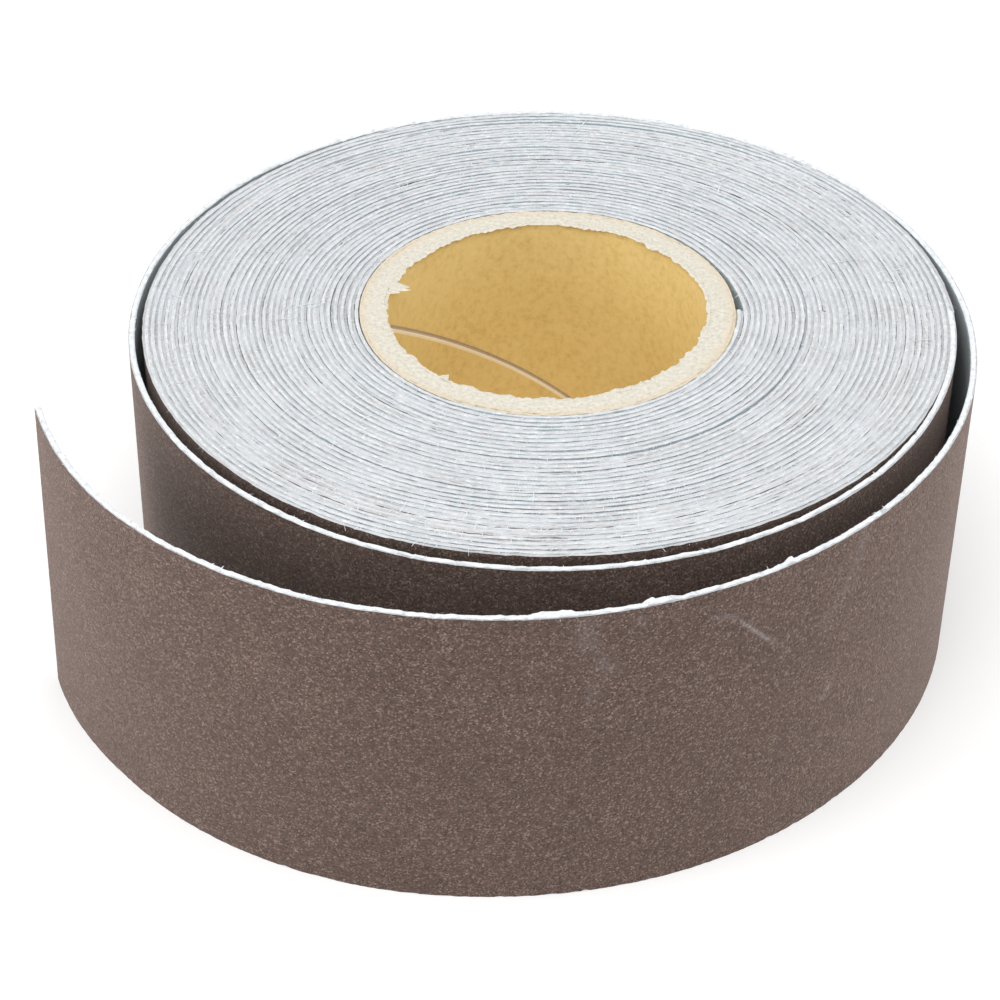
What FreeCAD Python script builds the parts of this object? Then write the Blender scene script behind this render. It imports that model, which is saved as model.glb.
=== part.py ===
import FreeCAD, Part
import Sketcher
import math
import os
from FreeCAD import Placement, Rotation, Vector

# A roll of abrasive cloth on a paper core, standing on its end face.
# Frame: millimetres, origin on the core's axis at the bottom face, +Z up.
# The strip leaves the roll on the +X side and winds clockwise, seen from above:
# 33 tight turns, one loose turn, then a tail that stands away from the roll.
# The tail is a flexible strip, cut here into short curved leaves joined by hinges.

SIZES = {
    "strip_width": 50.0,         # the strip's width, so the roll's height
    "core_length": 50.0,
    "core_bore_radius": 24.0,
    "liner_thickness": 0.4,      # smooth kraft ply that lines the core
    "body_ply_thickness": 0.8,   # one chipboard ply of the core's wall
    "body_plies": 4,
    "wrap_thickness": 0.4,       # kraft ply round the outside of the core
    "glue_thickness": 0.15,      # film that holds the strip's first end to the core
    "glue_sweep": 40.0,          # degrees of the core that the film covers
    "backing_thickness": 0.6,    # woven cloth
    "grit_thickness": 0.35,      # resin and grain on the outside of the cloth
    "packed_turns": 33,
    "lift_slack": 4.0,           # how much wider than the packed roll each arc
    "lift_sweep": 29.0,          # of the loose turn bends, and its degrees
    "front_slack": 1.0,
    "front_sweep": 117.0,
    "back_slack": 2.2,
    "back_sweep": 176.0,
    "tail_leaves": 12,
    "leaf_length": 19.8,         # along the strip, from hinge to hinge
    "hinge_gap": 0.6,            # between the ends of two leaves
    "tail_slack": 7.0,           # the tail's bend, as for the loose turn
    "tail_middle_slack": 12.0,   # its flatter stretch, between these two leaves
    "middle_first_leaf": 5,
    "middle_last_leaf": 9,
}

CORE_RADIUS = (
    "(Sizes.core_bore_radius + Sizes.liner_thickness"
    " + Sizes.body_plies * Sizes.body_ply_thickness + Sizes.wrap_thickness)"
)
PLY = "(Sizes.backing_thickness + Sizes.grit_thickness)"
PACK_RADIUS = f"({CORE_RADIUS} + Sizes.glue_thickness + Sizes.packed_turns * {PLY})"


def make_sheet(doc):
    """The driving dimensions, one row each: the name, and its value under that alias."""
    sheet = doc.addObject("Spreadsheet::Sheet", "Sizes")
    for row, (name, value) in enumerate(SIZES.items(), start=1):
        sheet.set(f"A{row}", name)
        sheet.set(f"B{row}", str(value))
        sheet.setAlias(f"B{row}", name)
    doc.recompute()
    return sheet


def origin_plane(body, role):
    """The body's own origin plane of that role."""
    return next(item for item in body.Origin.OriginFeatures if item.Role == role)


def make_body(doc, name, plane):
    """An empty body with one sketch on one of its origin planes."""
    body = doc.addObject("PartDesign::Body", name)
    body.Label = name
    sketch = body.newObject("Sketcher::SketchObject", f"{name}_sketch")
    sketch.AttachmentSupport = [(origin_plane(body, plane), "")]
    sketch.MapMode = "FlatFace"
    return body, sketch


def drive(sketch, constraint, name, expression):
    """Add a constraint to the sketch, name it and bind it to the sheet."""
    index = sketch.addConstraint(constraint)
    sketch.renameConstraint(index, name)
    sketch.setExpression(f"Constraints.{name}", expression)


def make_tube(doc, name, inner, wall):
    """One ply of the core: two circles about the axis, padded to the core's length."""
    body, sketch = make_body(doc, name, "XY_Plane")
    start = SIZES["core_bore_radius"]
    for index, (label, radius) in enumerate((("inner", inner), ("outer", f"{inner} + {wall}"))):
        sketch.addGeometry(Part.Circle(Vector(), Vector(0, 0, 1), start + index))
        sketch.addConstraint(Sketcher.Constraint("Coincident", index, 3, -1, 1))
        drive(sketch, Sketcher.Constraint("Radius", index, start + index), label, radius)
    pad = body.newObject("PartDesign::Pad", f"{name}_pad")
    pad.Profile = sketch
    pad.setExpression("Length", "Sizes.core_length")
    sketch.Visibility = False
    return body


def make_curved_plate(doc, name, inner, wall, sweep):
    """A strip bent to a constant radius: its cross-section, turned about the body's Z axis.

    It starts in the body's XZ plane and turns anticlockwise through the sweep, in degrees.
    """
    body, sketch = make_body(doc, name, "XZ_Plane")
    left, right, top = 30.0, 31.0, 40.0
    corners = [Vector(left, 0), Vector(right, 0), Vector(right, top), Vector(left, top)]
    for index in range(4):
        sketch.addGeometry(Part.LineSegment(corners[index], corners[(index + 1) % 4]))
    for index in range(4):
        sketch.addConstraint(Sketcher.Constraint("Coincident", index, 2, (index + 1) % 4, 1))
    for index in (0, 2):
        sketch.addConstraint(Sketcher.Constraint("Horizontal", index))
    for index in (1, 3):
        sketch.addConstraint(Sketcher.Constraint("Vertical", index))
    sketch.addConstraint(Sketcher.Constraint("PointOnObject", 0, 1, -1))
    drive(sketch, Sketcher.Constraint("DistanceX", -1, 1, 0, 1, left), "inner", inner)
    drive(sketch, Sketcher.Constraint("DistanceX", 0, 1, 0, 2, right - left), "wall", wall)
    drive(sketch, Sketcher.Constraint("DistanceY", 1, 1, 1, 2, top), "width", "Sizes.strip_width")
    turn = body.newObject("PartDesign::Revolution", f"{name}_turn")
    turn.Profile = sketch
    turn.ReferenceAxis = (sketch, ["V_Axis"])
    turn.setExpression("Angle", sweep)
    sketch.Visibility = False
    return body


class Arc:
    """A clockwise arc of the strip's line, seen from above; angles are in degrees."""

    def __init__(self, centre, radius, start, sweep):
        self.centre = centre
        self.radius = radius
        self.start = start
        self.sweep = sweep

    def point(self, travelled, radius=None):
        """The point that many degrees into the arc, on its own or another radius."""
        angle = math.radians(self.start - travelled)
        reach = self.radius if radius is None else radius
        return self.centre + Vector(math.cos(angle), math.sin(angle)) * reach

    def then(self, radius, sweep):
        """The arc that carries on from this one's end without a kink."""
        end = self.start - self.sweep
        outward = Vector(math.cos(math.radians(end)), math.sin(math.radians(end)))
        centre = self.point(self.sweep) - outward * radius
        return Arc(centre, radius, end, sweep)


def spiral_arcs(first_radius, pitch, turns):
    """A spiral of half circles about two centres, which meet without a kink.

    It starts on the +X axis at first_radius and grows by pitch in each turn.
    """
    shift = Vector(pitch / 4, 0)
    arcs = []
    for half in range(2 * turns):
        centre = shift if half % 2 else shift * -1
        radius = first_radius + pitch / 4 + half * pitch / 2
        arcs.append(Arc(centre, radius, -180 * half, 180))
    return arcs


def make_band(doc, name, arcs, inside, outside, width):
    """A standing band along a chain of arcs, between two offsets from its line."""
    near = []
    far = []
    for arc in arcs:
        for edges, offset in ((near, inside), (far, outside)):
            points = [arc.point(arc.sweep * share, arc.radius + offset) for share in (0, 0.5, 1)]
            edges.append(Part.Arc(*points).toShape())
    last = arcs[-1]
    ends = [
        (arcs[0].point(0, arcs[0].radius + offset), last.point(last.sweep, last.radius + offset))
        for offset in (inside, outside)
    ]
    caps = [Part.LineSegment(ends[0][side], ends[1][side]).toShape() for side in (0, 1)]
    wire = Part.Wire(Part.__sortEdges__(near + [caps[1]] + far + [caps[0]]))
    band = doc.addObject("Part::Feature", name)
    band.Label = name
    band.Shape = Part.Face(wire).extrude(Vector(0, 0, width))
    band.Placement = Placement()
    return band


def make_core(doc):
    """The paper core: a kraft liner, chipboard plies and a kraft wrap, one inside the next."""
    bore = "Sizes.core_bore_radius"
    wall = f"({bore} + Sizes.liner_thickness"
    parts = [make_tube(doc, "core_liner", bore, "Sizes.liner_thickness")]
    for ply in range(SIZES["body_plies"]):
        inner = f"{wall} + {ply} * Sizes.body_ply_thickness)"
        parts.append(make_tube(doc, f"core_ply_{ply + 1}", inner, "Sizes.body_ply_thickness"))
    inner = f"{wall} + Sizes.body_plies * Sizes.body_ply_thickness)"
    parts.append(make_tube(doc, "core_wrap", inner, "Sizes.wrap_thickness"))
    return parts


def make_glue(doc, sheet):
    """The film under the strip's first end, which runs clockwise from the +X axis."""
    film = make_curved_plate(
        doc, "start_glue", CORE_RADIUS, "Sizes.glue_thickness", "Sizes.glue_sweep"
    )
    film.Placement = Placement(Vector(), Rotation(Vector(0, 0, 1), -sheet.glue_sweep))
    return film


def leaf_slack(number):
    """The name of the size that says how widely that leaf of the tail bends."""
    middle = SIZES["middle_first_leaf"] <= number <= SIZES["middle_last_leaf"]
    return "tail_middle_slack" if middle else "tail_slack"


def make_leaf(doc, number, arc, sheet):
    """One leaf of the tail: cloth inside, grit outside, short of the hinge at each end."""
    line = f"({PACK_RADIUS} + Sizes.{leaf_slack(number)})"
    cloth = f"({line} - {PLY} / 2)"
    grit = f"({cloth} + Sizes.backing_thickness)"
    sweep = f"(Sizes.leaf_length - Sizes.hinge_gap) / {line} * 180 / pi"
    margin = math.degrees(sheet.hinge_gap / 2 / arc.radius)
    turn = Rotation(Vector(0, 0, 1), arc.start - arc.sweep + margin)
    layers = [
        make_curved_plate(doc, f"tail_{number}_backing", cloth, "Sizes.backing_thickness", sweep),
        make_curved_plate(doc, f"tail_{number}_grit", grit, "Sizes.grit_thickness", sweep),
    ]
    for layer in layers:
        layer.Placement = Placement(arc.centre, turn)
    return layers


def make_strip(doc, sheet):
    """The whole strip: the wound turns, the loose turn and the leaves of the tail."""
    ply = sheet.backing_thickness + sheet.grit_thickness
    core_radius = (
        sheet.core_bore_radius + sheet.liner_thickness
        + sheet.body_plies * sheet.body_ply_thickness + sheet.wrap_thickness
    )
    first_line = core_radius + sheet.glue_thickness + ply / 2
    pack_radius = core_radius + sheet.glue_thickness + sheet.packed_turns * ply
    wound = spiral_arcs(first_line, ply, int(sheet.packed_turns))

    chain = [wound[-1]]
    for slack, sweep in (
        (sheet.lift_slack, sheet.lift_sweep),
        (sheet.front_slack, sheet.front_sweep),
        (sheet.back_slack, sheet.back_sweep),
    ):
        chain.append(chain[-1].then(pack_radius + slack, sweep))
    loose = chain[1:]

    leaf_arcs = []
    for number in range(1, int(sheet.tail_leaves) + 1):
        radius = pack_radius + getattr(sheet, leaf_slack(number))
        sweep = math.degrees(sheet.leaf_length / radius)
        leaf_arcs.append((leaf_arcs or loose)[-1].then(radius, sweep))

    last = loose[-1]
    margin = math.degrees(sheet.hinge_gap / 2 / last.radius)
    loose[-1] = Arc(last.centre, last.radius, last.start, last.sweep - margin)

    cloth_face = -ply / 2
    grit_face = cloth_face + sheet.backing_thickness
    parts = []
    for name, arcs in (("wound", wound), ("loose_turn", loose)):
        for layer, low, high in (
            ("backing", cloth_face, grit_face),
            ("grit", grit_face, ply / 2),
        ):
            parts.append(make_band(doc, f"{name}_{layer}", arcs, low, high, sheet.strip_width))
    for number, arc in enumerate(leaf_arcs, start=1):
        parts.extend(make_leaf(doc, number, arc, sheet))
    return parts


def check(doc, parts):
    """Stop if any object failed to build or any part is not one valid solid."""
    for item in doc.Objects:
        if {"Invalid", "Error"} & set(item.State):
            raise RuntimeError(f"{item.Label} did not build: {item.State}")
    for part in parts:
        shape = part.Shape
        if shape.isNull() or not shape.isValid() or len(shape.Solids) != 1:
            raise RuntimeError(f"{part.Label} is not one valid solid")


def main():
    os.makedirs("parts", exist_ok=True)
    doc = FreeCAD.newDocument("abrasive_roll")
    sheet = make_sheet(doc)
    parts = make_core(doc)
    parts.append(make_glue(doc, sheet))
    parts.extend(make_strip(doc, sheet))
    doc.recompute()
    check(doc, parts)
    for part in parts:
        part.Shape.exportStep(os.path.join("parts", f"{part.Label}.step"))
    print(f"{len(parts)} parts written")


main()
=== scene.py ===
import math
import bpy
import numpy as np
from mathutils import Matrix, Vector


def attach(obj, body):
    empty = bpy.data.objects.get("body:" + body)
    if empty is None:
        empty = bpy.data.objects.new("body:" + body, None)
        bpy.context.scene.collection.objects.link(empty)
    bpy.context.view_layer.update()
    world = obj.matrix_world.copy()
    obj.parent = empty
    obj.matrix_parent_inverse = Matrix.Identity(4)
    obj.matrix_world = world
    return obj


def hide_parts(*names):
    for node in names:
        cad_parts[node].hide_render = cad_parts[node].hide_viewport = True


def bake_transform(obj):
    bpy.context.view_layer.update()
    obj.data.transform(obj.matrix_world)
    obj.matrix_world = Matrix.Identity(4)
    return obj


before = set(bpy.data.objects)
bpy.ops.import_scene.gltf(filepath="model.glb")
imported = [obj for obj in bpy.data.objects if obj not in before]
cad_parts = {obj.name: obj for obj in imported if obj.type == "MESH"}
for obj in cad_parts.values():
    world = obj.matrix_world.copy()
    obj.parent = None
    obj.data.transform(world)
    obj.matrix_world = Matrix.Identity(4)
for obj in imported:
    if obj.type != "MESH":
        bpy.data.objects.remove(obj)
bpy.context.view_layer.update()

# A roll of abrasive cloth on a paper core, standing on its end face.
# Everything is laid out in millimetres and scaled to metres when a mesh is made.
# The strip runs clockwise, seen from above: wound turns, one loose turn, then the tail.

MM = 0.001
FULL_TURN = 2 * math.pi

# The strip and the core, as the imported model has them.
WIDTH = 50.0
CLOTH = 0.6
COAT = 0.35
PLY = CLOTH + COAT
TURNS = 33
CORE_BORE = 24.0
LINER = 0.4
WALL = 3.2
WRAP = 0.4
CORE_RADIUS = CORE_BORE + LINER + WALL + WRAP
CORE_GAP = 0.15                 # between the core and the first turn
FIRST_LINE = CORE_RADIUS + CORE_GAP + PLY / 2
PACK_RADIUS = CORE_RADIUS + CORE_GAP + TURNS * PLY
# The loose turn's arcs: how much wider than the pack, and the degrees each one turns.
LOOSE_ARCS = ((4.0, 29.0), (1.0, 117.0), (2.2, 176.0))
LEAVES = 12
LEAF = 19.8
TAIL_SLACK = 7.0                # how much wider than the pack the tail's leaves are bent
MIDDLE_SLACK = 12.0
MIDDLE_LEAVES = range(5, 10)

# Offsets from the strip's middle line, outwards.
CLOTH_IN = -PLY / 2
CLOTH_OUT = CLOTH_IN + CLOTH
COAT_OUT = PLY / 2


# ---------------------------------------------------------------- the strip's line

def strip_line():
    """The middle line as rows of centre x, centre y, radius, start angle and sweep."""
    rows = []
    for half in range(2 * TURNS):
        side = 1 if half % 2 else -1
        radius = FIRST_LINE + PLY / 4 + half * PLY / 2
        rows.append((side * PLY / 4, 0.0, radius, -math.pi * half, math.pi))
    bends = [(PACK_RADIUS + slack, math.radians(sweep)) for slack, sweep in LOOSE_ARCS]
    for leaf in range(1, LEAVES + 1):
        slack = MIDDLE_SLACK if leaf in MIDDLE_LEAVES else TAIL_SLACK
        radius = PACK_RADIUS + slack
        bends.append((radius, LEAF / radius))
    for radius, sweep in bends:
        x, y, last, start, turned = rows[-1]
        end = start - turned
        step = last - radius
        rows.append((x + math.cos(end) * step, y + math.sin(end) * step, radius, end, sweep))
    return np.array(rows)


LINE = strip_line()
LENGTHS = LINE[:, 2] * LINE[:, 4]
STARTS = np.concatenate([[0.0], np.cumsum(LENGTHS)])
WOUND_END = STARTS[2 * TURNS]
TAIL_START = STARTS[2 * TURNS + len(LOOSE_ARCS)]
STRIP_END = STARTS[-1]


def arc_at(along):
    """The number of the arc that each distance along the strip falls in."""
    return np.clip(np.searchsorted(STARTS, along, side="right") - 1, 0, len(LINE) - 1)


def place(along, offset):
    """Points in plan at distances along the strip, moved outwards from its middle line."""
    along = np.asarray(along, float)
    arc = arc_at(along)
    x, y, radius, start, _ = np.moveaxis(LINE[arc], -1, 0)
    angle = start - (along - STARTS[arc]) / radius
    reach = radius + offset
    return x + np.cos(angle) * reach, y + np.sin(angle) * reach


def outward(along):
    """Unit vectors in plan that point away from the roll, and those along the strip."""
    arc = arc_at(along)
    _, _, radius, start, _ = np.moveaxis(LINE[arc], -1, 0)
    angle = start - (along - STARTS[arc]) / radius
    out = np.stack([np.cos(angle), np.sin(angle), np.zeros_like(angle)], -1)
    ahead = np.stack([np.sin(angle), -np.cos(angle), np.zeros_like(angle)], -1)
    return out, ahead


def tail_at(angle_deg):
    """The distance along the strip where the tail crosses that direction from the axis."""
    along = np.linspace(TAIL_START, STRIP_END, 2000)
    x, y = place(along, 0.0)
    off = np.degrees(np.arctan2(y, x)) - angle_deg
    off = (off + 180) % 360 - 180
    return along[np.argmin(np.abs(off))]


# ---------------------------------------------------------------- noise

def smooth(values, passes, axis=0):
    """Values blurred along one axis by repeated three-point means."""
    for _ in range(passes):
        values = (np.roll(values, 1, axis) + 2 * values + np.roll(values, -1, axis)) / 4
    return values


def eased(share):
    """A share from 0 to 1 that starts and ends gently."""
    return share * share * (3 - 2 * share)


def wander(count, step, span, size, rng):
    """A smooth random line of that many samples, step apart, bending over about span."""
    knots = rng.normal(0, size, max(4, int(count * step / span) + 4))
    where = np.linspace(0, len(knots) - 1.001, count)
    low = where.astype(int)
    share = eased(where - low)
    return knots[low] * (1 - share) + knots[low + 1] * share


def patchy(shape, cells, size, rng):
    """A smooth random field over a grid, with about that many cells each way."""
    rows = np.stack([wander(shape[1], 1, shape[1] / cells[1], size, rng)
                     for _ in range(cells[0] + 3)])
    where = np.linspace(0, len(rows) - 1.001, shape[0])
    low = where.astype(int)
    share = eased((where - low)[:, None])
    return rows[low] * (1 - share) + rows[low + 1] * share


# ---------------------------------------------------------------- meshes

def new_mesh(name, points, faces, slots=None, materials=()):
    """An object from points in millimetres, and faces as lists of point numbers."""
    mesh = bpy.data.meshes.new(name)
    mesh.from_pydata((points * MM).tolist(), [], faces)
    for material in materials:
        mesh.materials.append(material)
    if slots is not None:
        mesh.polygons.foreach_set("material_index", np.asarray(slots, np.int32))
    mesh.update()
    item = bpy.data.objects.new(name, mesh)
    bpy.context.scene.collection.objects.link(item)
    return item


def loft(rings, around=False):
    """Quads between closed outlines, with end faces unless the last joins the first."""
    count, size = rings.shape[:2]
    spans = count if around else count - 1
    first = np.arange(spans)[:, None] * size
    then = (np.arange(spans)[:, None] + 1) % count * size
    here = np.arange(size)[None, :]
    beside = (here + 1) % size
    quads = np.stack([first + here, then + here, then + beside, first + beside], -1)
    faces = quads.reshape(-1, 4).tolist()
    if not around:
        faces.append(list(range(size)))
        faces.append(list(range((count - 1) * size, count * size))[::-1])
    return rings.reshape(-1, 3), faces


def add_place(item, along, height, offset):
    """Keep where each point lies on the flat strip, for the textures."""
    spot = np.stack([along, height, offset], -1)
    layer = item.data.attributes.new("strip_place", "FLOAT_VECTOR", "POINT")
    layer.data.foreach_set("vector", spot.astype(np.float32).ravel())


def strip_piece(name, along, offsets, heights, slots, materials, cap_slot=0):
    """A length of the strip, from the outline (offset, height) at each place along it.

    offsets and heights have a row for each place and a column for each outline point.
    slots has the material of each outline edge, starting at the first point, and
    cap_slot has that of the two cut ends.
    """
    x, y = place(along[:, None], offsets)
    rings = np.stack([x, y, heights], -1)
    points, faces = loft(rings)
    spans = len(along) - 1
    face_slots = np.concatenate([np.tile(slots, spans), [cap_slot, cap_slot]])
    item = new_mesh(name, points, faces, face_slots, materials)
    flat = np.broadcast_to(along[:, None], offsets.shape)
    add_place(item, flat.ravel(), heights.ravel(), offsets.ravel())
    return item


FIBRE_STEPS = np.array([0.0, 0.35, 0.7, 1.0])     # where a thread's sections are
FIBRE_TAPER = np.array([1.0, 0.9, 0.7, 0.35])     # how thick it is there
FIBRE_SIDE = np.array([0.31, 0.17, 0.93])         # a direction that few threads take


def fibres(name, roots, heading, length, radius, bend, material):
    """Tapered, curved threads, each a closed three-sided tube with four sections."""
    count = len(roots)
    heading = heading / np.linalg.norm(heading, axis=1, keepdims=True)
    travel = length[:, None, None] * FIBRE_STEPS[None, :, None]
    line = roots[:, None, :] + heading[:, None, :] * travel
    line = line + bend[:, None, :] * length[:, None, None] * (FIBRE_STEPS**2)[None, :, None]
    side = np.cross(heading, FIBRE_SIDE)
    side = side / np.maximum(np.linalg.norm(side, axis=1, keepdims=True), 1e-6)
    other = np.cross(heading, side)
    turn = np.radians([90.0, 210.0, 330.0])
    ring = (side[:, None, None, :] * np.cos(turn)[None, None, :, None]
            + other[:, None, None, :] * np.sin(turn)[None, None, :, None])
    reach = radius[:, None, None, None] * FIBRE_TAPER[None, :, None, None]
    points = (line[:, :, None, :] + ring * reach).reshape(-1, 3)
    base = np.arange(count)[:, None] * 12    # each thread has 12 points
    quads = []
    for level in range(3):
        for corner in range(3):
            beside = (corner + 1) % 3
            row = (level * 3 + corner, level * 3 + beside,
                   level * 3 + 3 + beside, level * 3 + 3 + corner)
            quads.append(row)
    faces = (base[:, :, None] + np.array(quads)[None]).reshape(-1, 4).tolist()
    faces += (base + np.array([[2, 1, 0]])).tolist()
    faces += (base + np.array([[9, 10, 11]])).tolist()
    return new_mesh(name, points, faces, None, [material])


# ---------------------------------------------------------------- materials

class Nodes:
    """A short way to build a material's nodes and links."""

    def __init__(self, name):
        self.material = bpy.data.materials.new(name)
        self.material.use_nodes = True
        self.tree = self.material.node_tree
        self.shader = self.tree.nodes["Principled BSDF"]

    def add(self, kind, links=None, **values):
        """A node of that kind: settings by name, and links to sockets by name or number."""
        node = self.tree.nodes.new(kind)
        for key, value in values.items():
            setattr(node, key, value)
        for socket, source in (links or {}).items():
            if isinstance(source, bpy.types.NodeSocket):
                self.tree.links.new(source, node.inputs[socket])
            else:
                node.inputs[socket].default_value = source
        return node

    def strip_place(self):
        """Where a point lies on the flat strip, in millimetres."""
        return self.add("ShaderNodeAttribute", attribute_name="strip_place").outputs["Vector"]

    def object_place(self):
        """Where a point lies in the frame, in millimetres."""
        coords = self.add("ShaderNodeTexCoord").outputs["Object"]
        scaled = self.add("ShaderNodeVectorMath", {0: coords, 3: 1 / MM}, operation="SCALE")
        return scaled.outputs[0]

    def stretch(self, vector, scale):
        return self.add("ShaderNodeMapping", {0: vector, 3: scale}).outputs[0]

    def noise(self, vector, scale, detail=2.0, roughness=0.5):
        node = self.add("ShaderNodeTexNoise", {
            "Vector": vector, "Scale": scale, "Detail": detail, "Roughness": roughness})
        return node.outputs["Fac"]

    def cells(self, vector, scale, output="Color", feature="F1"):
        node = self.add("ShaderNodeTexVoronoi", {"Vector": vector, "Scale": scale},
                        feature=feature)
        return node.outputs[output]

    def wave(self, vector, scale, distortion=0.0, direction="X"):
        node = self.add("ShaderNodeTexWave", {
            "Vector": vector, "Scale": scale, "Distortion": distortion},
            bands_direction=direction)
        return node.outputs["Fac"]

    def ramp(self, value, stops):
        node = self.add("ShaderNodeValToRGB", {0: value})
        bar = node.color_ramp
        while len(bar.elements) < len(stops):
            bar.elements.new(1.0)
        for element, (position, colour) in zip(bar.elements, stops):
            element.position = position
            element.color = (*colour, 1.0) if len(colour) == 3 else colour
        return node.outputs["Color"]

    def level(self, value, low, high, out_low=0.0, out_high=1.0):
        """The value stretched from one range to another, and held at its ends."""
        node = self.add("ShaderNodeMapRange", {
            0: value, 1: low, 2: high, 3: out_low, 4: out_high})
        return node.outputs[0]

    def maths(self, operation, first, second=0.0):
        return self.add("ShaderNodeMath", {0: first, 1: second}, operation=operation).outputs[0]

    def mix(self, share, first, second, blend="MIX"):
        node = self.add("ShaderNodeMix", data_type="RGBA", blend_type=blend)
        for socket, source in ((0, share), (6, first), (7, second)):
            if isinstance(source, bpy.types.NodeSocket):
                self.tree.links.new(source, node.inputs[socket])
            else:
                value = (*source, 1.0) if isinstance(source, tuple) else source
                node.inputs[socket].default_value = value
        return node.outputs[2]

    def split(self, vector):
        return self.add("ShaderNodeSeparateXYZ", {0: vector}).outputs

    def bump(self, height, distance, strength=1.0, below=None):
        links = {"Height": height, "Distance": distance, "Strength": strength}
        if below is not None:
            links["Normal"] = below
        return self.add("ShaderNodeBump", links).outputs[0]

    def finish(self, colour, roughness, normal=None, **fixed):
        for name, source in (("Base Color", colour), ("Roughness", roughness),
                             ("Normal", normal)):
            if source is None:
                continue
            if isinstance(source, bpy.types.NodeSocket):
                self.tree.links.new(source, self.shader.inputs[name])
            else:
                self.shader.inputs[name].default_value = source
        for name, value in fixed.items():
            self.shader.inputs[name.replace("_", " ")].default_value = value
        return self.material


GRAINS_PER_MM = 4.4
THREADS = 0.72          # the weave's wave scale, about two threads to a millimetre
LINING_SHADE = (48.9, 49.6)       # heights between which painted shade darkens the lining under its torn edge
BOARD_RIM = (26.3, 27.6)        # radii between which the board takes a warm tint
SEAM_DARK = (0.05, 0.26)        # the seam's dark line: its middle and half width, in mm
SEAM_LIGHT = (-0.50, 0.28)      # and the light line below it


def grit_material():
    """Brown grain in matt resin: specks of each grain, soft mottling, dust and scuffs."""
    n = Nodes("abrasive_grain")
    spot = n.strip_place()
    grains = n.cells(spot, GRAINS_PER_MM)
    shade = n.split(grains)[0]
    speck = n.ramp(shade, (
        (0.0, (0.047, 0.029, 0.023)), (0.40, (0.086, 0.054, 0.043)),
        (0.80, (0.126, 0.085, 0.068)), (1.0, (0.260, 0.195, 0.160))))
    reddish = n.level(n.split(grains)[2], 0.55, 1.0, 0.0, 0.5)
    speck = n.mix(reddish, speck, (0.135, 0.070, 0.058))
    cloudy = n.noise(spot, 0.07, 3.0, 0.5)
    tone = n.level(cloudy, 0.3, 0.7, 0.93, 1.07)
    grey = n.add("ShaderNodeCombineXYZ", {0: tone, 1: tone, 2: tone}).outputs[0]
    toned = n.mix(1.0, speck, grey, "MULTIPLY")
    dust = n.level(n.noise(spot, 0.35, 5.0, 0.7), 0.60, 0.80, 0.0, 0.10)
    colour = n.mix(dust, toned, (0.40, 0.34, 0.32))
    scuff = n.add("ShaderNodeAttribute", attribute_name="scuff").outputs["Fac"]
    worn = n.maths("MULTIPLY", scuff, n.level(n.noise(spot, 2.6, 3.0, 0.7), 0.34, 0.62))
    colour = n.mix(worn, colour, (0.50, 0.47, 0.49))
    rough = n.level(n.split(grains)[1], 0.0, 1.0, 0.6, 0.95)
    facets = n.cells(spot, GRAINS_PER_MM, "Distance")
    fine = n.noise(spot, 6.0, 2.0)
    normal = n.bump(facets, 0.00010, 0.7)
    normal = n.bump(fine, 0.00006, 0.5, normal)
    return n.finish(colour, rough, normal, Specular_IOR_Level=0.3, Sheen_Weight=0.22,
                    Sheen_Roughness=0.45, Sheen_Tint=(1.0, 0.80, 0.71, 1.0))


def packed_material():
    """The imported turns' cut edges: pale cold cotton, streaked along, with grain dust."""
    n = Nodes("packed_cotton_edge")
    spot = n.strip_place()
    mottle = n.noise(n.stretch(spot, (0.9, 1.0, 4.5)), 1.0, 3.0, 0.65)
    colour = n.ramp(mottle, (
        (0.28, (0.46, 0.475, 0.495)), (0.50, (0.60, 0.62, 0.64)), (0.72, (0.74, 0.77, 0.80))))
    streaks = n.noise(n.stretch(spot, (0.10, 0.0, 3.6)), 1.0, 2.0, 0.5)
    colour = n.mix(n.level(streaks, 0.56, 0.70, 0.0, 0.6), colour, (0.86, 0.89, 0.91))
    colour = n.mix(n.level(streaks, 0.44, 0.32, 0.0, 0.5), colour, (0.43, 0.43, 0.44))
    wide = n.noise(n.stretch(n.object_place(), (1.0, 1.0, 0.0)), 0.10, 3.0, 0.6)
    colour = n.mix(n.level(wide, 0.35, 0.65, 0.0, 0.45), colour, (0.74, 0.76, 0.78))
    dust = n.noise(n.object_place(), 1.1, 3.0, 0.7)
    colour = n.mix(n.level(dust, 0.52, 0.68, 0.0, 0.5), colour, (0.56, 0.515, 0.51))
    colour = n.mix(n.level(dust, 0.46, 0.34, 0.0, 0.5), colour, (0.84, 0.87, 0.89))
    normal = n.bump(mottle, 0.00010, 0.8)
    return n.finish(colour, 0.95, normal, Sheen_Weight=0.2)


def coat_edge_material():
    """The coat's cut edge: brown resin, half hidden by pale cotton dust."""
    n = Nodes("abrasive_cut_edge")
    spot = n.strip_place()
    mottle = n.noise(spot, 2.2, 3.0, 0.7)
    colour = n.ramp(mottle, (
        (0.30, (0.36, 0.33, 0.325)), (0.50, (0.48, 0.465, 0.465)), (0.70, (0.62, 0.63, 0.65))))
    along = n.noise(n.stretch(spot, (0.035, 0.0, 0.0)), 1.0, 3.0, 0.6)
    colour = n.mix(n.level(along, 0.36, 0.58, 0.0, 0.8), colour, (0.56, 0.57, 0.59))
    wide = n.noise(n.stretch(n.object_place(), (1.0, 1.0, 0.0)), 0.13, 3.0, 0.6)
    colour = n.mix(n.level(wide, 0.42, 0.62, 0.0, 0.75), colour, (0.66, 0.68, 0.70))
    normal = n.bump(mottle, 0.0001, 0.6)
    return n.finish(colour, 0.9, normal)


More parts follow.
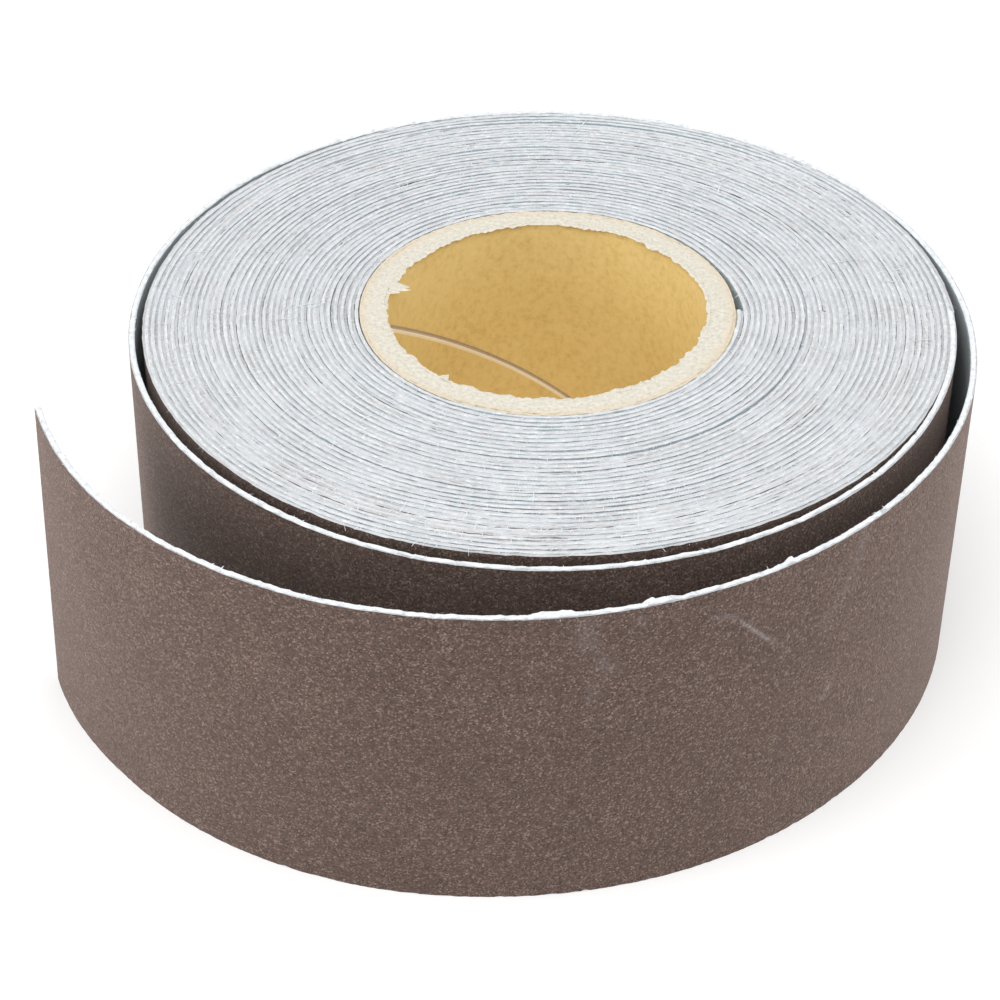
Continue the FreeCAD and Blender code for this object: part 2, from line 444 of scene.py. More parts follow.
def weave_material():
    """The cloth's inner face: fine blue-grey cotton, woven over and under."""
    n = Nodes("woven_backing")
    spot = n.strip_place()
    across = n.wave(n.stretch(spot, (1.0, 0.0, 0.0)), THREADS, 0.6)
    upward = n.wave(n.stretch(spot, (0.0, 1.0, 0.0)), THREADS, 0.6, "Y")
    threads = n.maths("MULTIPLY", across, upward)
    worn = n.noise(spot, 0.25, 4.0, 0.6)
    colour = n.mix(n.level(threads, 0.0, 1.0, 0.0, 0.55), (0.46, 0.56, 0.60),
                   (0.70, 0.80, 0.84))
    colour = n.mix(n.level(worn, 0.35, 0.7, 0.0, 0.35), colour, (0.66, 0.72, 0.75))
    normal = n.bump(threads, 0.00015, 0.8)
    return n.finish(colour, 0.9, normal, Sheen_Weight=0.2)


def fray_material():
    """Cut cotton ends: white with a cold tint, dusty here and there."""
    n = Nodes("frayed_cotton")
    spot = n.object_place()
    patch = n.noise(spot, 0.9, 4.0, 0.7)
    colour = n.ramp(patch, (
        (0.28, (0.60, 0.61, 0.63)), (0.46, (0.80, 0.83, 0.86)), (0.68, (0.92, 0.95, 0.97))))
    fuzz = n.noise(spot, 5.0, 3.0, 0.7)
    normal = n.bump(fuzz, 0.00015, 0.8)
    return n.finish(colour, 0.95, normal, Sheen_Weight=0.3)


def kraft_material():
    """The core's lining: golden kraft paper, mottled, with its seam drawn on it and painted shade
    just under its torn top edge.
    """
    n = Nodes("kraft_lining")
    spot = n.object_place()
    cloudy = n.noise(spot, 0.11, 4.0, 0.6)
    mottle = n.noise(spot, 0.9, 5.0, 0.7)
    colour = n.ramp(mottle, (
        (0.25, (0.67, 0.485, 0.178)), (0.5, (0.82, 0.62, 0.25)), (0.78, (0.88, 0.70, 0.325))))
    colour = n.mix(n.level(cloudy, 0.35, 0.7, 0.0, 0.35), colour, (0.89, 0.715, 0.34))
    seam = n.add("ShaderNodeAttribute", attribute_name="seam").outputs["Fac"]
    for (middle, half), tint in ((SEAM_DARK, (0.42, 0.35, 0.32)),
                                 (SEAM_LIGHT, (0.98, 0.90, 0.74))):
        line = n.maths("COMPARE", seam, middle)
        line.node.inputs[2].default_value = half
        colour = n.mix(n.maths("MULTIPLY", line, 0.85), colour, tint)
    # Painted shade: a dark brown band just under the torn top edge, where the rim shades the
    # lining, broken up by the mottle.
    under = n.maths("MULTIPLY", n.level(n.split(spot)[2], *LINING_SHADE),
                    n.level(mottle, 0.42, 0.6))
    colour = n.mix(n.maths("MULTIPLY", under, 0.6), colour, (0.34, 0.19, 0.06))
    normal = n.bump(mottle, 0.0001, 0.4)
    return n.finish(colour, 0.62, normal)


def board_material():
    """Torn chipboard: mottled cream, with a warm tint near its outer rim."""
    n = Nodes("chipboard")
    spot = n.object_place()
    xyz = n.split(spot)
    radius = n.maths("SQRT", n.maths("ADD", n.maths("MULTIPLY", xyz[0], xyz[0]),
                                     n.maths("MULTIPLY", xyz[1], xyz[1])))
    mottle = n.noise(spot, 1.6, 5.0, 0.75)
    colour = n.ramp(mottle, (
        (0.25, (0.50, 0.46, 0.37)), (0.48, (0.68, 0.645, 0.55)), (0.75, (0.83, 0.80, 0.72))))
    rim = n.maths("MULTIPLY", n.level(radius, *BOARD_RIM), n.level(mottle, 0.35, 0.6))
    colour = n.mix(n.maths("MULTIPLY", rim, 0.55), colour, (0.76, 0.57, 0.37))
    normal = n.bump(mottle, 0.0002, 0.7)
    return n.finish(colour, 0.92, normal)


def glue_material():
    """Dried adhesive film: amber, a little glossy."""
    n = Nodes("dried_adhesive")
    mottle = n.noise(n.object_place(), 0.7, 4.0, 0.6)
    colour = n.ramp(mottle, ((0.3, (0.50, 0.38, 0.19)), (0.7, (0.74, 0.64, 0.42))))
    return n.finish(colour, 0.35, n.bump(mottle, 0.00008, 0.5))


GRIT = grit_material()
COAT_EDGE = coat_edge_material()
PACKED = packed_material()
WEAVE = weave_material()
FRAY = fray_material()
KRAFT = kraft_material()
BOARD = board_material()


# ---------------------------------------------------------------- the paper core

SEAM_RISE = 0.295      # mm up for each degree round the core, anticlockwise
SEAM_LOW = 6.7         # how far below the bottom face the seam would cross the +X axis
SEAM_TILT = 0.818      # the cosine of its slope
SEAM_JOIN = 260        # the direction, in degrees, where the seam starts over
CORE_STEPS = 720
LINING_LEVELS = 130
CORE_FOOT = 0.1        # how high the lining's lower edge is above the floor
GROOVE = (0.16, 0.22)  # the seam's depth and half width
LIP = (0.10, 2.0)      # how far the lining stands in below the seam, and how soon it fades
SMALL_BURRS = 26
# Clear burrs: their direction in degrees, half width and reach into the bore in mm.
# The first three are one long tongue of paper.
BURRS = ((165.8, 0.95, 2.6), (168.0, 0.7, 3.0), (170.4, 0.6, 1.6), (-128.0, 0.8, 1.1),
         (-30.0, 1.2, 0.7))


def seam_distance(angle, height):
    """How far above the lining's helical seam a point is, square to the seam, in mm."""
    degrees = np.degrees(angle)
    degrees = np.where(degrees > SEAM_JOIN, degrees - 360, degrees)
    return (height - (SEAM_RISE * degrees - SEAM_LOW)) * SEAM_TILT


def burr_depth(angle, rng):
    """How far torn paper stands into the bore: many small burrs and one long tongue."""
    step = FULL_TURN * CORE_BORE / len(angle)
    depth = np.abs(wander(len(angle), step, 2.6, 0.22, rng))
    depth = depth + np.abs(wander(len(angle), step, 0.7, 0.11, rng))
    places = [(rng.uniform(0, FULL_TURN), rng.uniform(0.4, 1.6), rng.uniform(0.25, 0.7))
              for _ in range(SMALL_BURRS)]
    places += [(math.radians(degrees), half, reach) for degrees, half, reach in BURRS]
    for centre, half, reach in places:
        away = (angle - centre + math.pi) % FULL_TURN - math.pi
        bump = np.clip(1 - np.abs(away * CORE_BORE / half), 0, 1)
        depth = np.maximum(depth, reach * bump ** 0.45)
    return depth


def ring_points(angle, radius, height):
    """Points round the axis, from radii and heights for each direction."""
    cos, sin = np.cos(angle)[:, None], np.sin(angle)[:, None]
    return np.stack([radius * cos, radius * sin, height], -1)


def make_lining():
    """The kraft lining: torn at its top edge, with a seam that climbs round its inside."""
    rng = np.random.default_rng(51)
    angle = np.arange(CORE_STEPS) * FULL_TURN / CORE_STEPS
    height = np.linspace(CORE_FOOT, WIDTH - 0.25, LINING_LEVELS)
    seam = seam_distance(angle[:, None], height[None, :])
    groove = GROOVE[0] * np.exp(-(seam / GROOVE[1]) ** 2)
    lip = LIP[0] * np.exp(np.minimum(seam + 0.3, 0) / LIP[1]) * (seam < 0)
    inside = CORE_BORE + groove - lip + patchy(seam.shape, (16, 5), 0.03, rng)
    depth = burr_depth(angle, rng)
    lift = smooth(rng.normal(0, 0.10, CORE_STEPS), 1)
    tip_r = CORE_BORE - depth
    tip_z = WIDTH - 0.06 + lift - depth * 0.05
    outer = np.full(CORE_STEPS, CORE_BORE + LINER)
    rim_r = np.stack([tip_r, outer - 0.2, outer, outer], 1)
    rim_z = np.stack([tip_z, WIDTH + 0.06 + lift, WIDTH + lift * 0.5,
                      np.full(CORE_STEPS, CORE_FOOT)], 1)
    radius = np.concatenate([inside, rim_r], 1)
    z = np.concatenate([np.broadcast_to(height, inside.shape), rim_z], 1)
    points, faces = loft(ring_points(angle, radius, z), around=True)
    slots = np.tile([0] * LINING_LEVELS + [1] * 4, CORE_STEPS)
    item = new_mesh("core_lining", points, faces, slots, [KRAFT, BOARD])
    layer = item.data.attributes.new("seam", "FLOAT", "POINT")
    distance = seam_distance(np.broadcast_to(angle[:, None], z.shape), z)
    layer.data.foreach_set("value", distance.astype(np.float32).ravel())
    return item


def core_tube(name, inner, outer, rng):
    """A layer of the core's wall, as a tube with slightly rough ends."""
    angle = np.arange(CORE_STEPS) * FULL_TURN / CORE_STEPS
    across = np.linspace(inner, outer, max(3, round((outer - inner) / 0.4) + 1))
    size = len(across)
    rough = smooth(rng.normal(0, 0.075, (CORE_STEPS, size)), 2)
    drift = wander(CORE_STEPS, 1, CORE_STEPS / 14, 0.05, rng)[:, None]
    radius = np.concatenate([across, across[::-1]])
    radius = np.broadcast_to(radius, (CORE_STEPS, 2 * size))
    z = np.concatenate([WIDTH + rough + drift, np.abs(rough[:, ::-1]) * 0.4 + 0.03], 1)
    points, faces = loft(ring_points(angle, radius, z), around=True)
    return new_mesh(name, points, faces, None, [BOARD])


def make_core():
    """The lining, the chipboard wall and the wrap, each standing for its own nodes."""
    rng = np.random.default_rng(52)
    wall = core_tube("core_wall", CORE_BORE + LINER, CORE_BORE + LINER + WALL, rng)
    wrap = core_tube("core_outer_wrap", CORE_RADIUS - WRAP, CORE_RADIUS, rng)
    plies = [f"core_ply_{ply}" for ply in range(1, 5)]
    for piece, nodes, slot in ((make_lining(), ["core_liner"], "kraft_liner"),
                               (wall, plies, "chipboard"), (wrap, ["core_wrap"], "kraft_wrap")):
        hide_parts(*nodes)
        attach(piece, "roll")


# ---------------------------------------------------------------- the wound turns

def turns_at(along):
    """How many times the strip has gone round the core at each place."""
    arc = arc_at(along)
    return (arc + (along - STARTS[arc]) / LENGTHS[arc]) / 2


HUG_DEPTH = 0.9        # how fast a hugging turn sinks below the spiral, in plies a turn
HUG_END = 0.92         # the share of a turn after which it steps over the strip's start
HUG_TURNS = 12         # the turns over which the hugging fades out
# The turns' waver: size in mm, waves to a turn, drift from turn to turn, and phase.
WAVES = ((0.09, 2, 0.30, 0.0), (0.06, 5, -0.45, 1.0), (0.03, 9, 0.80, 0.0))


def settle(along):
    """How far the turns sit off the even spiral: the first hug the core, all waver."""
    turn = turns_at(along)
    share = turn % 1.0
    deepest = HUG_DEPTH * HUG_END
    hug = np.where(share < HUG_END, share * HUG_DEPTH, deepest * (1 - share) / (1 - HUG_END))
    hug = -PLY * hug * np.clip(1 - turn / HUG_TURNS, 0, 1)
    turned = share * FULL_TURN
    waves = sum(size * np.sin(count * turned + drift * turn + phase)
                for size, count, drift, phase in WAVES)
    return hug + waves * np.clip(turn / 2, 0, 1) * np.clip((TURNS - turn) / 1.5, 0, 1)


END_MAP = (0.33, 0.325)           # the upper end's middle and radius in the texture layout
FOOT_MAP = (0.83, 0.16, 0.155)    # the lower end's middle, across and up, and its radius
WALL_MAP = (0.68, 0.31)           # where the rows of wall start, and how high they all are
ROW_MAP = (0.01, 0.97, 0.96)      # where a row starts, its length, and how full it is
CAP_MAP = (0.72, 0.40, 0.02)      # where the strip's two cut ends are, and their size


def add_bake_map(item, along, offsets, heights):
    """A layout for textures: both ends seen square on, the walls in rows.

    The outline has its upper edges first, then the outer wall, the lower edges and
    the inner wall, so half its points are above and half below.
    """
    size = offsets.shape[1]
    half = size // 2
    x, y = place(along[:, None], offsets)
    ring = np.arange(len(along) - 1)[:, None, None] + np.array([0, 1, 1, 0])
    point = (np.arange(size)[:, None] + np.array([0, 0, 1, 1])) % size
    ring, point = np.broadcast_arrays(ring, point[None])
    seen = np.stack([x, y], -1)[ring, point] / np.hypot(x, y).max()
    turn = turns_at(along)
    start = np.floor(turn[:-1] + 1e-6)
    around = turn[ring] - start[:, None, None]
    row = (start - start[0])[:, None, None] + ROW_MAP[2] * heights[ring, point] / WIDTH
    rows = start[-1] - start[0] + 1
    spots = np.empty(seen.shape)
    spots[:, :half - 1] = END_MAP[0] + END_MAP[1] * seen[:, :half - 1]
    spots[:, half:-1] = np.array(FOOT_MAP[:2]) + FOOT_MAP[2] * seen[:, half:-1]
    for wall, below in ((half - 1, 0), (size - 1, rows)):
        spots[:, wall, :, 0] = ROW_MAP[0] + ROW_MAP[1] * around[:, wall]
        spots[:, wall, :, 1] = WALL_MAP[0] + WALL_MAP[1] * (below + row[:, wall]) / (2 * rows)
    caps = []
    for end, order in ((0, slice(None)), (-1, slice(None, None, -1))):
        across = CAP_MAP[0] + CAP_MAP[2] * (offsets[end] - offsets[end].min() - end * 2)
        caps.append(np.stack([across, CAP_MAP[1] + CAP_MAP[2] * heights[end] / WIDTH], -1)[order])
    spots = np.concatenate([spots.reshape(-1, 2), *caps])
    layer = item.data.uv_layers.new(name="OFBake")
    layer.data.foreach_set("uv", spots.astype(np.float32).ravel())


RAG = 0.06             # mm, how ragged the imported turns' upper edges are


def wound_part(name, along, layer, rng):
    """Some of the wound turns, either their cloth or their coat, with ragged edges.

    across has the offsets of the upper edge's points, and crown how high they stand.
    """
    count = len(along)
    base = settle(along)[:, None]
    gap = along[1] - along[0]
    base = base + wander(count, gap, 45.0, 0.03, rng)[:, None]
    turn_lift = wander(count, gap, 210.0, 0.05, rng)[:, None]
    fine_lift = wander(count, gap, 6.0, 0.03, rng)[:, None]
    if layer == "cloth":
        across = np.array([CLOTH_IN + 0.03, CLOTH_IN + 0.18, CLOTH_OUT - 0.2, CLOTH_OUT - 0.03])
        crown = np.array([-0.05, 0.02, 0.03, -0.03])
        slots = [0] * 3 + [1] + [0] * 3 + [1]
        materials = [PACKED, WEAVE]
    else:
        across = np.array([CLOTH_OUT - 0.02, CLOTH_OUT + 0.12, COAT_OUT + 0.07])
        crown = np.array([-0.12, -0.15, -0.15])
        sunk = np.clip(wander(count, gap, 70.0, 0.16, rng) - 0.14, 0.0, 0.3)[:, None]
        turn_lift = turn_lift - sunk
        slots = [0] * 2 + [1] + [0] * 2 + [1]
        materials = [COAT_EDGE, GRIT]
    size = len(across)
    rag = smooth(rng.normal(0, RAG, (count, size)), 1)
    shift = smooth(rng.normal(0, 0.03, (count, size)), 1)
    top_o = base + across + shift
    top_z = WIDTH + crown + turn_lift + fine_lift + rag
    low_o = base + across[::-1]
    low_z = np.abs(smooth(rng.normal(0, RAG, (count, size)), 1)) + 0.02
    offsets = np.concatenate([top_o, low_o], 1)
    heights = np.concatenate([top_z, low_z], 1)
    item = strip_piece(name, along, offsets, heights, slots, materials, cap_slot=1)
    add_bake_map(item, along, offsets, heights)
    return item


def turn_places(first, last, step):
    """Places along the strip from one whole turn to another, about a step apart."""
    low, high = STARTS[2 * first], STARTS[2 * last]
    return np.linspace(low, high, int((high - low) / step) + 1)


WOUND_PARTS = ((0, 13), (13, 24), (24, TURNS))
STRIP_STEP = 0.5       # mm between the outlines of the wound and loose strip
FUZZ_PER_MM = 1.6      # cotton ends to a mm of packed strip


def make_wound():
    """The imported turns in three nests, each a sheet of cloth with its coat."""
    for number, (first, last) in enumerate(WOUND_PARTS, start=1):
        along = turn_places(first, last, STRIP_STEP)
        coat = wound_part(f"wound_coat_{number}", along, "coat",
                          np.random.default_rng(100 + number))
        cloth = wound_part(f"wound_cloth_{number}", along, "cloth",
                           np.random.default_rng(200 + number))
        for piece, node, slot in ((coat, "wound_grit", "grit"), (cloth, "wound_backing", "cloth")):
            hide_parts(node)
            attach(piece, "roll")


def wound_fuzz():
    """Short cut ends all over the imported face."""
    rng = np.random.default_rng(7)
    for number, (first, last) in enumerate(WOUND_PARTS, start=1):
        low, high = STARTS[2 * first], STARTS[2 * last]
        count = int((high - low) * FUZZ_PER_MM)
        along = rng.uniform(low, high, count)
        offset = rng.uniform(CLOTH_IN + 0.05, CLOTH_OUT - 0.05, count) + settle(along)
        x, y = place(along, offset)
        out, ahead = outward(along)
        roots = np.stack([x, y, np.full(count, WIDTH - 0.1)], -1)
        swing = rng.normal(0, 1.0, (count, 1))
        side = rng.choice([-1.0, 1.0], (count, 1), p=[0.4, 0.6])
        heading = out * side + ahead * swing * 0.9
        heading[:, 2] = rng.uniform(0.05, 0.9, count)
        length = rng.gamma(2.2, 0.22, count).clip(0.2, 1.1)
        bend = rng.normal(0, 0.25, (count, 3))
        bend[:, 2] = rng.uniform(-0.7, -0.1, count)
        radius = rng.uniform(0.03, 0.075, count)
        fuzz = fibres(f"wound_fray_{number}", roots, heading, length, radius, bend, FRAY)
        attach(fuzz, "roll")


# The clearest threads: direction in degrees, radius, inwards or outwards, and length.
CLEAR_THREADS = ((166.0, 45.8, -1, 5.2), (84.0, 58.0, -1, 5.4), (-14.0, 38.2, 1, 6.8),
                 (17.0, 45.3, 1, 4.0))
SMALL_THREADS = 64


def loose_threads():
    """Long cotton threads that lie over the turns, the four clearest and a scatter."""
    rng = np.random.default_rng(11)
    rows = [(math.radians(a), r, side, length) for a, r, side, length in CLEAR_THREADS]
    for _ in range(SMALL_THREADS):
        rows.append((rng.uniform(0, FULL_TURN), rng.uniform(31, 58), rng.choice([-1, 1]),
                     rng.uniform(1.4, 3.6)))
    angle, radius, side, length = np.array(rows).T
    roots = np.stack([radius * np.cos(angle), radius * np.sin(angle),
                      np.full(len(rows), WIDTH + 0.12)], -1)
    out = np.stack([np.cos(angle), np.sin(angle), np.zeros(len(rows))], -1)
    ahead = np.stack([-np.sin(angle), np.cos(angle), np.zeros(len(rows))], -1)
    sideways = rng.normal(0, 0.35, (len(rows), 1))
    heading = out * side[:, None] + ahead * sideways
    bend = ahead * rng.normal(0, 0.35, (len(rows), 1))
    bend[:, 2] = 0.02
    thick = rng.uniform(0.05, 0.09, len(rows))
    threads = fibres("loose_threads", roots, heading, length, thick, bend, FRAY)
    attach(threads, "roll")


# ---------------------------------------------------------------- the loose turn and tail

def grain_field(count, rows, size, rng):
    """Grain over a grid of the coat: single high points and a soft unevenness."""
    single = rng.normal(0, 1, (count, rows))
    clump = smooth(smooth(rng.normal(0, 1, (count, rows)), 1), 1, 1) * 1.6
    return (single * 0.55 + clump * 0.65) * size


# How far the strip leans out at its upper and lower edge, in mm, at distances along it.
LEANS = np.array([
    (WOUND_END, 0.0, 0.0), (WOUND_END + 120, 0.0, 0.0), (WOUND_END + 192, -0.1, 0.8),
    (WOUND_END + 260, 0.0, 0.0), (TAIL_START - 10, -0.2, 0.0), (TAIL_START + 45, -0.4, -0.5),
    (TAIL_START + 80, 0.0, -0.5), (TAIL_START + 148, 0.0, -0.5), (STRIP_END - 65, -0.2, -0.2),
    (STRIP_END - 30, -0.5, 0.0), (STRIP_END, -0.9, 1.0)])
SINK_MIDDLE = WOUND_END + 90    # where the loose turn's upper edge is lowest
SINK_HALF = 75.0                # how far that dip reaches to each side
SINK_DEPTH = 0.45


def lean(along, height):
    """How far the strip leans out at each place and height."""
    along, height = np.broadcast_arrays(along, height)
    knot = np.clip(np.searchsorted(LEANS[:, 0], along, side="right") - 1, 0, len(LEANS) - 2)
    run = LEANS[knot + 1, 0] - LEANS[knot, 0]
    share = eased(np.clip((along - LEANS[knot, 0]) / run, 0, 1))
    top, low = (LEANS[knot, side] * (1 - share) + LEANS[knot + 1, side] * share
                for side in (1, 2))
    return low + (top - low) * np.clip(height / WIDTH, 0, 1)


def sink(along):
    """How far the upper edge drops at each place, where the loose turn sits low."""
    share = np.clip(1 - np.abs(along - SINK_MIDDLE) / SINK_HALF, 0, 1)
    return SINK_DEPTH * eased(share)


def rim_shape(along, bumps):
    """How far the upper edge rises and bulges, from (direction, half width, rise, bulge)."""
    rise = np.zeros(len(along))
    bulge = np.zeros(len(along))
    for angle, half, up, out in bumps:
        share = np.clip((1 - np.abs(along - tail_at(angle)) / half) * 2.5, 0, 1)
        rise += up * share
        bulge += out * share
    return rise, bulge


GRAIN = 0.010          # mm, how rough the coat's face is
FACE_ROWS = 26         # points up the cloth's inner face
TUFT = np.array([0.0, 0.06, 0.06, 0.06, 0.06])    # how ragged the rim's points are
SPREAD = np.array([0.0, 0.08, 0.05, 0.04, 0.0])   # how far they stray across it


def layers(along, step, rng, bumps=()):
    """Outlines of the coat and of the cloth at each place along the strip."""
    count = len(along)
    gap = along[1] - along[0]
    rows = int(WIDTH / step) + 1
    rise, bulge = rim_shape(along, bumps)
    rag = wander(count, gap, 5.0, 0.06, rng) + wander(count, gap, 0.6, 0.045, rng)
    rag = rag - sink(along)
    low_rag = np.abs(wander(count, gap, 1.2, 0.09, rng))
    height = np.linspace(0, 1, rows)[None, :]
    top = WIDTH - 0.05 + rag * 0.6 - sink(along) * 0.4
    face_z = low_rag[:, None] + height * (top - low_rag)[:, None]
    face_o = COAT_OUT - 0.03 + grain_field(count, rows, GRAIN, rng)
    coat_o = np.concatenate([face_o, np.full((count, 2), CLOTH_OUT - 0.05)], 1)
    coat_z = np.concatenate([face_z, top[:, None] - 0.1, low_rag[:, None] + 0.05], 1)
    coat_slots = [0] * (rows - 1) + [1, 0, 1]

    rim = np.array([CLOTH_OUT - 0.03, CLOTH_OUT + 0.15, CLOTH_OUT + 0.02, CLOTH_IN + 0.18,
                    CLOTH_IN])
    crown = np.array([-0.40, -0.02, 0.15, 0.13, -0.06])
    rim_z = WIDTH + crown + rag[:, None] + smooth(rng.normal(0, 1, (count, 5)), 1) * TUFT
    rim_z[:, 1:4] += rise[:, None]
    down = np.linspace(1, 0, FACE_ROWS)[None, 1:-1]
    weave_z = down * (WIDTH - 0.3)
    cells = (max(2, int(count * gap / 18)), 4)
    weave_o = CLOTH_IN + patchy((count, FACE_ROWS - 2), cells, 0.02, rng)
    foot = np.array([CLOTH_IN, CLOTH_IN + 0.18, CLOTH_OUT - 0.16, CLOTH_OUT - 0.02])
    foot = np.tile(foot, (count, 1))
    foot_z = low_rag[:, None] + np.abs(smooth(rng.normal(0, 0.05, (count, 4)), 1))
    rim_o = rim[None, :] + smooth(rng.normal(0, 1, (count, 5)), 1) * SPREAD
    rim_o[:, 1:3] += bulge[:, None]
    cloth_o = np.concatenate([rim_o, weave_o, foot], 1)
    cloth_z = np.concatenate([rim_z, np.broadcast_to(weave_z, weave_o.shape), foot_z], 1)
    cloth_slots = [0] * 4 + [1] * (FACE_ROWS - 1) + [0] * 4
    coat_o = coat_o + lean(along[:, None], coat_z)
    cloth_o = cloth_o + lean(along[:, None], cloth_z)
    return (coat_o, coat_z, coat_slots), (cloth_o, cloth_z, cloth_slots)


def edge_fuzz(name, low, high, rate, rng, extra=()):
    """Cotton ends along the strip's two edges, rate to a mm, with extra tufts on the upper.

    extra has a row for each tuft: its middle along the strip, its spread and its ends.
    """
    count = int((high - low) * rate)
    along = rng.uniform(low, high, count)
    tufts = [rng.normal(centre, spread, many) for centre, spread, many in extra
             if low < centre < high]
    along = np.concatenate([along, *tufts]).clip(low, high)
    tufty = np.arange(len(along)) >= count
    top = (rng.uniform(0, 1, len(along)) < 0.72) | tufty
    z = np.where(top, WIDTH - 0.05 - sink(along), 0.12)
    offset = rng.uniform(CLOTH_IN, CLOTH_OUT, len(along)) + lean(along, z)
    x, y = place(along, offset)
    out, ahead = outward(along)
    swing = rng.normal(0, 0.8, (len(along), 1)) + 0.25
    heading = out * swing + ahead * rng.normal(0, 0.9, (len(along), 1))
    heading[:, 2] = np.where(top, rng.uniform(0.1, 1.0, len(along)), 0.02)
    length = rng.gamma(3.0, 0.07, len(along)).clip(0.12, 0.4) * np.where(tufty, 1.5, 1.0)
    bend = rng.normal(0, 0.3, (len(along), 3))
    bend[:, 2] = np.where(top, rng.uniform(-0.9, 0.0, len(along)), 0.0)
    radius = rng.uniform(0.04, 0.10, len(along))
    roots = np.stack([x, y, z], -1)
    return fibres(name, roots, heading, length, radius, bend, FRAY)


JOIN = 0.45            # the share of a leaf after which one of the tail's pieces ends
LOOSE_END = TAIL_START - LEAF * (1 - JOIN)
LOOSE_FUZZ = 5.0       # cotton ends to a mm of the loose turn
TAIL_FUZZ = 7.0        # and of the tail
TAIL_STEP = 0.3        # mm between the tail's outlines


def make_loose():
    """The loose turn: its coat outside, its cloth inside, and frayed edges."""
    rng = np.random.default_rng(31)
    length = LOOSE_END - WOUND_END
    along = np.linspace(WOUND_END, LOOSE_END, int(length / STRIP_STEP) + 1)
    coat_form, cloth_form = layers(along, STRIP_STEP, rng)
    coat = strip_piece("loose_turn_coat", along, *coat_form, [GRIT, COAT_EDGE])
    cloth = strip_piece("loose_turn_cloth", along, *cloth_form, [FRAY, WEAVE])
    fuzz = edge_fuzz("loose_turn_fray", WOUND_END, LOOSE_END, LOOSE_FUZZ, rng)
    for piece, nodes, slot in ((coat, ["loose_turn_grit"], "grit"),
                               (cloth, ["loose_turn_backing"], "cloth"), (fuzz, [], "cloth")):
        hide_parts(*nodes)
        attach(piece, "roll")


# Tufts on the tail's upper edge: direction in degrees, spread in mm, number of ends.
TUFTS = ((-88.8, 2.2, 60), (-78.3, 1.0, 30), (-62.1, 0.8, 20), (-47.2, 0.7, 12), (-100.0, 1.0, 10))
# Bumps and notches in that edge: direction, half width, rise and outward lean in mm.
RIM_BUMPS = ((-88.8, 3.2, 0.50, 0.35), (-77.6, 2.2, 0.35, 0.10), (-79.0, 0.8, 0.35, 0.20),
             (-62.1, 0.7, 0.55, 0.10), (-47.2, 0.8, -0.50, 0.0), (-42.5, 0.9, -0.45, 0.0))
# Pale scuffs on the tail's coat: mm from the tail's start, height, then the other end's,
# half width in mm and strength.
SCUFFS = ((118.6, 43.2, 114.2, 38.5, 0.30, 0.50), (114.2, 38.5, 110.4, 34.9, 0.35, 0.16),
          (122.6, 45.4, 119.5, 44.6, 0.45, 0.22), (103.3, 22.6, 101.9, 24.2, 0.55, 0.26),
          (98.0, 49.5, 99.0, 44.6, 1.3, 0.09), (99.0, 44.6, 101.0, 40.6, 1.3, 0.10),
          (101.0, 40.6, 104.2, 36.2, 1.5, 0.08), (140.2, 48.0, 139.8, 45.0, 1.5, 0.15),
          (137.9, 41.8, 137.3, 40.8, 1.4, 0.15), (139.6, 37.9, 139.2, 36.9, 1.0, 0.10),
          (133.5, 48.5, 133.2, 46.8, 0.8, 0.08))


def add_scuffs(coat, along, heights):
    """Keep how scuffed each point of the coat is, from its distance to each scuff."""
    spot = np.stack([np.broadcast_to(along[:, None], heights.shape) - TAIL_START, heights], -1)
    scuff = np.zeros(heights.shape)
    for x1, z1, x2, z2, half, strength in SCUFFS:
        low, run = np.array([x1, z1]), np.array([x2 - x1, z2 - z1])
        share = np.clip(((spot - low) @ run) / (run @ run), 0, 1)
        away = np.linalg.norm(spot - low - share[..., None] * run, axis=-1)
        scuff = np.maximum(scuff, strength * np.exp(-(away / half) ** 2))
    layer = coat.data.attributes.new("scuff", "FLOAT", "POINT")
    layer.data.foreach_set("value", scuff.astype(np.float32).ravel())


def make_tail():
    """The tail: one strip in thirteen pieces, each reaching across one hinge but the last."""
    rng = np.random.default_rng(41)
    cuts = [LOOSE_END]
    cuts += [TAIL_START + LEAF * (leaf + JOIN) for leaf in range(LEAVES)]
    cuts.append(STRIP_END)
    spans = [max(2, round((high - low) / TAIL_STEP)) for low, high in zip(cuts, cuts[1:])]
    along = np.concatenate([np.linspace(low, high, span + 1)[:-1]
                            for low, high, span in zip(cuts, cuts[1:], spans)] + [[STRIP_END]])
    coat_form, cloth_form = layers(along, TAIL_STEP, rng, RIM_BUMPS)
    extra = [(tail_at(angle), spread, many) for angle, spread, many in TUFTS]
    first = 0
    for number, span in enumerate(spans):
        rows = slice(first, first + span + 1)
        here = along[rows]
        pieces = []
        for kind, (offsets, heights, slots), materials in (
                ("coat", coat_form, [GRIT, COAT_EDGE]), ("cloth", cloth_form, [FRAY, WEAVE])):
            pieces.append(strip_piece(f"tail_{kind}_{number + 1}", here, offsets[rows],
                                      heights[rows], slots, materials))
        coat, cloth = pieces
        fuzz = edge_fuzz(f"tail_fray_{number + 1}", here[0], here[-1], TAIL_FUZZ, rng, extra)
        add_scuffs(coat, here, coat_form[1][rows])
        leaf = min(number + 1, LEAVES)
        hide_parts(f"tail_{leaf}_grit")
        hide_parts(f"tail_{leaf}_backing")
        for piece, slot in ((coat, "grit"), (cloth, "cloth"), (fuzz, "cloth")):
            if number < LEAVES:
                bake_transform(piece)
            else:
                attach(piece, f"tail_{LEAVES}")
        first += span


# ---------------------------------------------------------------- the stage

FLOOR_HALF = 6000.0
FLOOR_DROP = 0.05      # mm below the roll, so that their faces don't coincide
WORLD_LIGHT = 0.55
